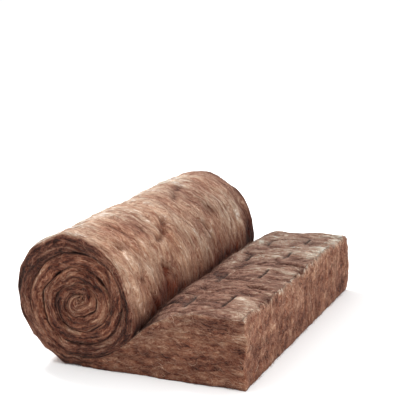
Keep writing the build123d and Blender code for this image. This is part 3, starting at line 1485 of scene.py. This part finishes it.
class NodeSheet:
    """A short way to write a material's nodes."""

    noise_roughness: float = 0.6

    def __init__(self, name: str) -> None:
        """Start a material with only its shader.

        Args:
            name: The material's name.
        """
        self.material = bpy.data.materials.new(name)
        self.material.use_nodes = True
        self.tree = self.material.node_tree
        self.shader = self.tree.nodes["Principled BSDF"]

    def add(self, kind: str, inputs: dict[int | str, object] | None = None,
            **settings: object) -> bpy.types.Node:
        """Add a node.

        Args:
            kind: The node's type.
            inputs: What goes into it, by the number or name of the socket.
            **settings: Its properties.

        Returns:
            The node.
        """
        node = self.tree.nodes.new(kind)
        for name, value in settings.items():
            setattr(node, name, value)
        self.feed(node, inputs or {})
        return node

    def feed(self, node: bpy.types.Node, inputs: dict[int | str, object]) -> None:
        """Link a node's inputs to other sockets, or set them where a plain value is given.

        Args:
            node: The node.
            inputs: What goes into it, by the number or name of the socket.
        """
        for key, value in inputs.items():
            if isinstance(value, bpy.types.NodeSocket):
                self.tree.links.new(value, node.inputs[key])
            else:
                node.inputs[key].default_value = value

    def math(self, operation: str, first: object, second: object) -> bpy.types.NodeSocket:
        """Combine two numbers."""
        return self.add("ShaderNodeMath", {0: first, 1: second}, operation=operation).outputs[0]

    def vector(self, operation: str, first: object, second: object) -> bpy.types.NodeSocket:
        """Combine two vectors."""
        inputs = {0: first, 1: second}
        return self.add("ShaderNodeVectorMath", inputs, operation=operation).outputs[0]

    def attribute(self, name: str, output: str = "Fac") -> bpy.types.NodeSocket:
        """Read one of the mesh's own numbers, or its vector."""
        return self.add("ShaderNodeAttribute", attribute_name=name).outputs[output]

    def noise(self, place: object, scale: Size, detail: float = 3,
              output: str = "Fac") -> bpy.types.NodeSocket:
        """Add a noise texture.

        Args:
            place: Where it is read.
            scale: Its lumps to the metre, along each coordinate.
            detail: How many finer noises it carries.
            output: Which of its outputs to take.

        Returns:
            The output's socket.
        """
        inputs = {"Vector": self.vector("MULTIPLY", place, scale), "Scale": 1.0,
                  "Detail": detail, "Roughness": self.noise_roughness}
        return self.add("ShaderNodeTexNoise", inputs).outputs[output]

    def bent(self, place: object, scale: Size, reach: Size) -> bpy.types.NodeSocket:
        """Move places by a noise, so that what is read there winds.

        Args:
            place: The places.
            scale: The noise's lumps to the metre.
            reach: How far it moves them along each coordinate, in metres.

        Returns:
            The moved places.
        """
        noise = self.noise(place, scale, detail=2, output="Color")
        wander = self.vector("SUBTRACT", noise, (0.5, 0.5, 0.5))
        return self.vector("ADD", place, self.vector("MULTIPLY", wander, reach))

    def by_zone(self, place: object, scales: dict[Zone, Size]) -> bpy.types.NodeSocket:
        """Noise whose lumps have another shape on each kind of face.

        Args:
            place: Where it is read.
            scales: The lumps to the metre on each kind of face.

        Returns:
            The noise's socket.
        """
        result = self.noise(place, scales[Zone.SKIN])
        for zone in (Zone.LONG_EDGE, Zone.CUT_END):
            other = self.noise(place, scales[zone])
            result = self.mix_number(self.attribute(zone.value), result, other)
        return result

    def mix_number(self, share: object, first: object, second: object) -> bpy.types.NodeSocket:
        """Mix two numbers."""
        inputs = dict(zip((0, *MIX_NUMBERS), (share, first, second)))
        return self.add("ShaderNodeMix", inputs, data_type="FLOAT").outputs[0]

    def mix(self, kind: str, share: object, first: object, second: object) -> bpy.types.NodeSocket:
        """Mix two colours.

        Args:
            kind: How the second is laid on the first.
            share: How much of it, which is kept between 0 and 1.
            first: The first colour.
            second: The second colour.

        Returns:
            The mixed colour's socket.
        """
        kept = self.add("ShaderNodeClamp", {"Value": share}).outputs[0]
        inputs = dict(zip((0, *MIX_COLOURS), (kept, first, second)))
        node = self.add("ShaderNodeMix", inputs, data_type="RGBA", blend_type=kind)
        return node.outputs[MIX_COLOUR_OUT]

    def sum(self, *terms: tuple[object, object]) -> bpy.types.NodeSocket:
        """Add up noises.

        Args:
            *terms: Each noise and the amount of it.

        Returns:
            The sum's socket.
        """
        total = None
        for value, amount in terms:
            term = self.math("MULTIPLY", value, amount)
            total = term if total is None else self.math("ADD", total, term)
        return total

    def centred(self, value: object) -> bpy.types.NodeSocket:
        """Move a noise from around a half to around nought."""
        return self.math("SUBTRACT", value, 0.5)

    def ramp(self, value: object, stops: tuple[float, ...],
             colours: tuple[Colour, ...]) -> bpy.types.NodeSocket:
        """Turn a number into a colour.

        Args:
            value: The number.
            stops: The numbers at which each colour is full.
            colours: The colours.

        Returns:
            The colour's socket.
        """
        node = self.add("ShaderNodeValToRGB", {0: value})
        node.color_ramp.interpolation = "EASE"
        points = node.color_ramp.elements
        while len(points) < len(stops):
            points.new(0.5)
        for point, at, colour in zip(points, stops, colours):
            point.position = at
            point.color = (*colour, 1)
        return node.outputs[0]

    def finish(self, colour: object, roughness: float, shine: float,
               extra: dict[str, object] | None = None) -> bpy.types.Material:
        """Give the shader its values.

        Args:
            colour: The base colour.
            roughness: How rough it is.
            shine: How much it mirrors.
            extra: Any other values, by the name of the socket.

        Returns:
            The material.
        """
        self.feed(self.shader, {"Base Color": colour, "Roughness": roughness,
                                "Specular IOR Level": shine, **(extra or {})})
        return self.material


@dataclass(frozen=True)
class WoolFinish:
    """Brown mineral wool: layered fibres, paler on its skins, with painted shade in its folds.

    Scales are lumps to the metre along, across and through the strip, reaches are in metres, and
    amounts and heights are the parts that each noise has in the tone and in the bump.
    """

    name: str = "brown_mineral_wool"
    shadow: Colour = (0.022, 0.006, 0.004)
    dark: Colour = (0.092, 0.025, 0.014)
    brown: Colour = (0.222, 0.086, 0.050)
    tan: Colour = (0.392, 0.224, 0.140)
    pale: Colour = (0.720, 0.530, 0.415)
    stops: tuple[float, ...] = (0.02, 0.24, 0.46, 0.72, 1.0)
    grey_tint: Colour = (0.78, 1.17, 1.48)
    # The dark colour that painted shade brings the wool towards.
    painted_shade_tint: Colour = (0.25, 0.09, 0.06)
    slit: Colour = (0.030, 0.018, 0.015)
    wander_scale: Size = (9, 13, 16)
    wander_reach: Size = (0.06, 0.085, 0.040)
    curl_scale: Size = (34, 60, 75)
    curl_reach: Size = (0.016, 0.018, 0.010)
    lock_scales: dict[Zone, Size] = field(default_factory=lambda: {
        Zone.SKIN: (9, 44, 90), Zone.LONG_EDGE: (24, 60, 100), Zone.CUT_END: (30, 46, 34)})
    lock_amount: float = 0.75
    layered_lock_amount: float = 1.1
    lock_height: float = 1.0
    strand_scales: dict[Zone, Size] = field(default_factory=lambda: {
        Zone.SKIN: (30, 170, 300), Zone.LONG_EDGE: (70, 260, 330), Zone.CUT_END: (90, 170, 120)})
    strand_amount: float = 0.85
    strand_height: float = 0.34
    fibre_scale: Size = (150, 850, 950)
    fibre_amount: float = 0.45
    fibre_height: float = 0.08
    cloud_scale: Size = (8, 11, 26)
    cloud_amount: float = 0.7
    speck_scale: Size = (170, 300, 300)
    speck_amount: float = 0.40
    bump_distance: float = 0.022
    roughness: float = 0.92
    shine: float = 0.08
    sheen: float = 0.08
    sheen_roughness: float = 0.5
    sheen_tint: Colour = (0.98, 0.82, 0.70)

    def make(self) -> bpy.types.Material:
        """Build the node material.

        Returns:
            The finished material.
        """
        sheet = NodeSheet(self.name)
        lay = sheet.attribute("lay", "Vector")
        wandering = sheet.bent(lay, self.wander_scale, self.wander_reach)
        curl = sheet.bent(lay, self.curl_scale, self.curl_reach)
        place = sheet.vector("ADD", wandering, sheet.vector("SUBTRACT", curl, lay))
        locks = sheet.by_zone(place, self.lock_scales)
        strands = sheet.by_zone(place, self.strand_scales)
        fibres = sheet.noise(place, self.fibre_scale, detail=2)
        height = sheet.sum((locks, self.lock_height), (strands, self.strand_height),
                           (fibres, self.fibre_height))
        bump = sheet.add("ShaderNodeBump", {
            "Strength": 1.0, "Distance": self.bump_distance, "Height": height})
        layered = sheet.math("MAXIMUM", sheet.attribute(Zone.LONG_EDGE.value),
                             sheet.attribute(Zone.CUT_END.value))
        noises = (
            (locks, sheet.mix_number(layered, self.lock_amount, self.layered_lock_amount)),
            (strands, self.strand_amount), (fibres, self.fibre_amount),
            (sheet.noise(lay, self.cloud_scale), self.cloud_amount),
            (sheet.noise(place, self.speck_scale), self.speck_amount))
        grain = sheet.sum(*((sheet.centred(noise), amount) for noise, amount in noises))
        colour = self.tint(sheet, sheet.math("ADD", grain, sheet.attribute("tone")))
        return sheet.finish(colour, self.roughness, self.shine, {
            "Normal": bump.outputs["Normal"], "Sheen Weight": self.sheen,
            "Sheen Roughness": self.sheen_roughness, "Sheen Tint": (*self.sheen_tint, 1)})

    def tint(self, sheet: NodeSheet, tone: object) -> bpy.types.NodeSocket:
        """Colour the wool by its tone, then grey it, paint shade into its folds and draw its slits.

        Args:
            sheet: The material's nodes.
            tone: How pale the wool is.

        Returns:
            The colour's socket.
        """
        colours = (self.shadow, self.dark, self.brown, self.tan, self.pale)
        colour = sheet.ramp(tone, self.stops, colours)
        grey = sheet.vector("MULTIPLY", colour, self.grey_tint)
        colour = sheet.mix("MIX", sheet.attribute("grey"), colour, grey)
        # Painted shade: the colour is darkened where the mesh's painted shade attribute is high.
        colour = sheet.mix("MULTIPLY", sheet.attribute("painted_shade"), colour, (*self.painted_shade_tint, 1))
        return sheet.mix("MIX", sheet.attribute("mark"), colour, (*self.slit, 1))


@dataclass(frozen=True)
class FibreFinish:
    """Single loose fibres, whose shade differs from fibre to fibre."""

    name: str = "loose_wool_fibre"
    dark: Colour = (0.065, 0.024, 0.016)
    brown: Colour = (0.230, 0.110, 0.070)
    pale: Colour = (0.640, 0.440, 0.320)
    stops: tuple[float, ...] = (0.1, 0.5, 1.0)
    grain_scale: Size = (140, 140, 140)
    grain_amount: float = 0.4
    roughness: float = 0.8
    shine: float = 0.25

    def make(self) -> bpy.types.Material:
        """Build the node material.

        Returns:
            The finished material.
        """
        sheet = NodeSheet(self.name)
        place = sheet.add("ShaderNodeTexCoord").outputs["Object"]
        grain = sheet.centred(sheet.noise(place, self.grain_scale, detail=2))
        tone = sheet.sum((sheet.attribute("shade"), 1.0), (grain, self.grain_amount))
        colour = sheet.ramp(tone, self.stops, (self.dark, self.brown, self.pale))
        return sheet.finish(colour, self.roughness, self.shine)


@dataclass(frozen=True)
class FloorFinish:
    """The plain pale floor of the studio."""

    name: str = "pale_floor"
    colour: Colour = (0.93, 0.93, 0.93)
    roughness: float = 0.9
    shine: float = 0.1

    def make(self) -> bpy.types.Material:
        """Build the node material."""
        return NodeSheet(self.name).finish((*self.colour, 1), self.roughness, self.shine)


@dataclass(frozen=True)
class Lamp:
    """A square soft light that faces the object."""

    name: str
    place: Size
    size: float
    power: float
    aim: Size = (0, 0, 0.2)

    def hang(self) -> None:
        """Put the light in the scene."""
        data = bpy.data.lights.new(self.name, "AREA")
        data.size = self.size
        data.energy = self.power
        thing = place_in_scene(self.name, data)
        thing.location = self.place
        away = Vector(self.aim) - Vector(self.place)
        thing.rotation_euler = away.to_track_quat("-Z", "Y").to_euler()


@dataclass
class Studio:
    """The floor, the lights and the camera."""

    camera_place: Size = (1.6286, -4.0206, 1.4449)
    camera_turn: float = math.radians(21.9)
    camera_dip: float = math.radians(12.73)
    lens: float = 108.79
    sensor: float = 36.0
    floor_size: float = 60.0
    floor_drop: float = 0.0005
    sky: float = 1.1
    key: Lamp = Lamp("key", (-2.3, 1.1, 3.2), size=1.1, power=245)
    fill: Lamp = Lamp("fill", (3.4, -1.6, 2.0), size=2.0, power=85)

    def build(self) -> None:
        """Set up the camera, the floor and the lights."""
        self.place_camera()
        self.lay_floor()
        self.light()

    def place_camera(self) -> None:
        """Put the camera at the photograph's viewing angle."""
        data = bpy.data.cameras.new("camera")
        data.lens = self.lens
        data.sensor_width = self.sensor
        data.clip_end = self.floor_size
        thing = place_in_scene("camera", data)
        thing.location = self.camera_place
        thing.rotation_euler = (math.pi / 2 - self.camera_dip, 0, self.camera_turn)
        bpy.context.scene.camera = thing

    def lay_floor(self) -> None:
        """Lay the pale floor."""
        bpy.ops.object.select_all(action="DESELECT")
        bpy.ops.mesh.primitive_plane_add(size=self.floor_size, location=(0, 0, -self.floor_drop))
        thing = bpy.context.object
        thing.name = "floor"
        thing.data.materials.append(FloorFinish().make())

    def light(self) -> None:
        """Light the mat softly from all round, and most from above and behind on the left."""
        world = bpy.data.worlds.new("studio")
        world.use_nodes = True
        world.node_tree.nodes["Background"].inputs["Color"].default_value = (1, 1, 1, 1)
        world.node_tree.nodes["Background"].inputs["Strength"].default_value = self.sky
        bpy.context.scene.world = world
        bpy.context.scene.view_settings.view_transform = "Standard"
        self.key.hang()
        self.fill.hang()


def report(thing: bpy.types.Object) -> None:
    """Log a finished piece."""
    LOG.info("%s: %d faces", thing.name, len(thing.data.polygons))


def main() -> None:
    """Build the studio, the mat and its loose fibres, and log each piece's face count."""
    logging.basicConfig(level=logging.INFO, format="%(message)s")
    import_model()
    Studio().build()
    mat = WoolMat("mineral_wool_mat", *(Vector(corner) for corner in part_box("wool_mat")))
    surface = mat.build()
    surface.data.materials.append(WoolFinish().make())
    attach(surface, "root")
    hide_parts("wool_mat")
    report(surface)
    fibre = FibreFinish().make()
    for fibres in (LooseFibres("loose_fibres_roll", Ground.ROLL, count=15000, seed=71),
                   LooseFibres("loose_fibres_tail", Ground.TAIL, count=9000, seed=72)):
        tuft = fibres.build(mat, surface)
        tuft.data.materials.append(fibre)
        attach(tuft, "root")
        report(tuft)


if __name__ == "__main__":
    main()
